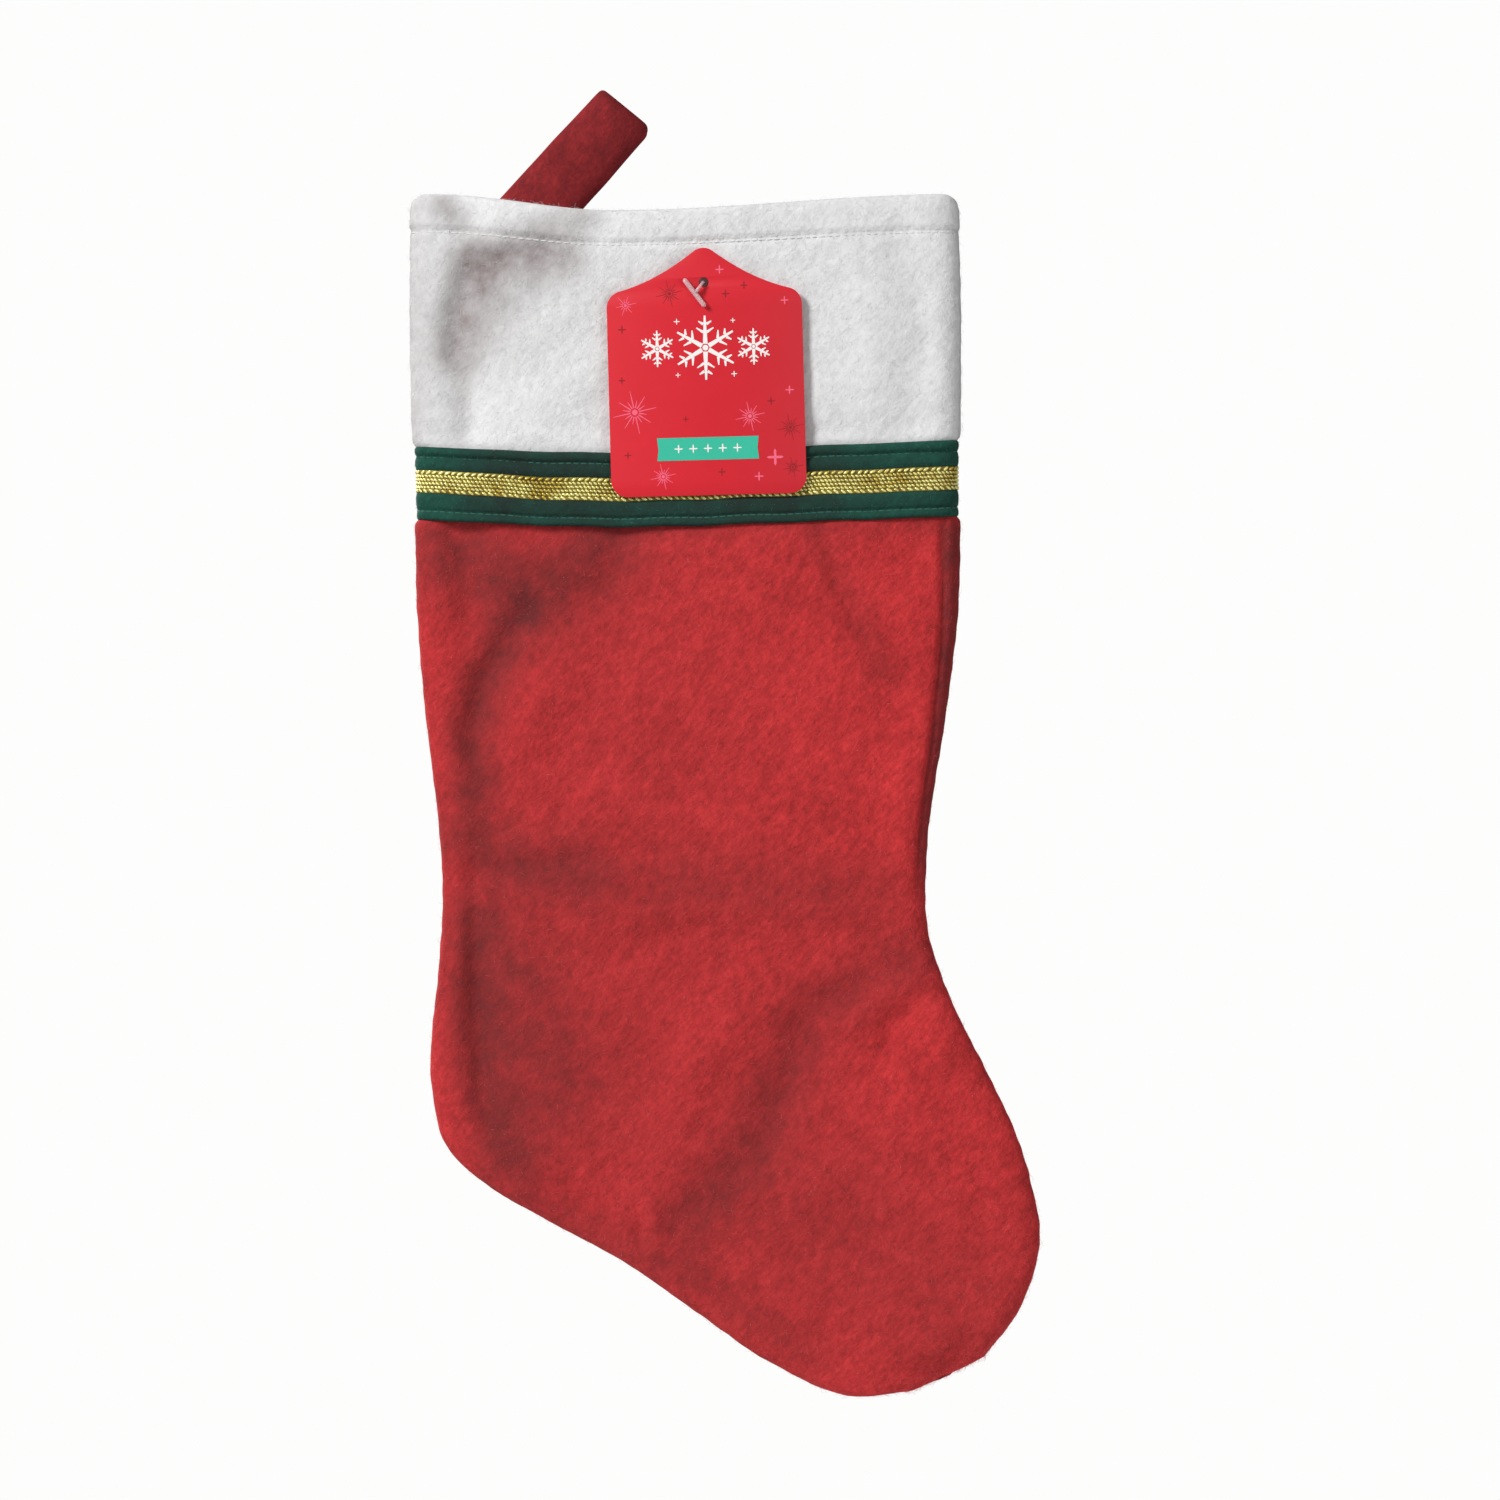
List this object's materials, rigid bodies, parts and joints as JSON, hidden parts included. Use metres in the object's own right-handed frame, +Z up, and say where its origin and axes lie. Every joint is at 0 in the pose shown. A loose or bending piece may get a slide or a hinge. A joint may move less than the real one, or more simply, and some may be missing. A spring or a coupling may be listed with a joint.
{
  "type": "hanging stocking",
  "caption": "Felt Christmas stocking with a white cuff, green and gold band, folded hanging loop and a shaped card swing tag.",
  "frame": {"origin": "inside the top fold of the hanging loop, where a hook carries the stocking", "axes": "+Z up, +X towards the toe, the front with the tag faces -Y"},
  "size_m": [0.2363, 0.032, 0.49],
  "materials": {
    "red_felt": "brushed felt",
    "white_felt": "brushed felt",
    "green_felt": "felt ribbon with rolled edges",
    "gold_braid": "metallic knitted braid",
    "strap_felt": "felt",
    "red_card": "printed satin card",
    "clear_plastic": "translucent",
    "white_thread": "sewing thread",
    "green_thread": "sewing thread",
    "red_thread": "sewing thread"
  },
  "bodies": {
    "loop": {"hanging_loop": "strap_felt"},
    "stocking": {"leg_front": "red_felt", "leg_back": "red_felt", "cuff_front": "white_felt", "cuff_back": "white_felt", "trim_front": "green_felt", "trim_back": "green_felt", "braid_front": "gold_braid", "braid_back": "gold_braid", "loop_tail": "strap_felt", "hem_thread_front": "white_thread", "hem_thread_back": "white_thread", "trim_upper_thread_front": "green_thread", "trim_upper_thread_back": "green_thread", "trim_lower_thread_front": "green_thread", "trim_lower_thread_back": "green_thread", "side_seam_thread": "red_thread", "loop_tack_thread": "red_thread"},
    "fastener_anchor": {"fastener_anchor": "clear_plastic"},
    "tag": {"swing_tag": "red_card", "fastener_head": "clear_plastic"}
  },
  "joints": [
    {"name": "stocking_swing", "type": "hinge", "parent": "loop", "child": "stocking", "pos_m": [-0.02467, 0, -0.0274], "axis": [1, 0, 0], "range_deg": [-60, 60]},
    {"name": "tag_swing", "type": "hinge", "parent": "stocking", "child": "fastener_anchor", "pos_m": [0.0313, -0.012, -0.06375], "axis": [0, 1, 0], "range_deg": [-60, 60]},
    {"name": "tag_lift", "type": "hinge", "parent": "fastener_anchor", "child": "tag", "pos_m": [0.0313, -0.0126, -0.051], "axis": [-1, 0, 0], "range_deg": [0, 90]}
  ]
}
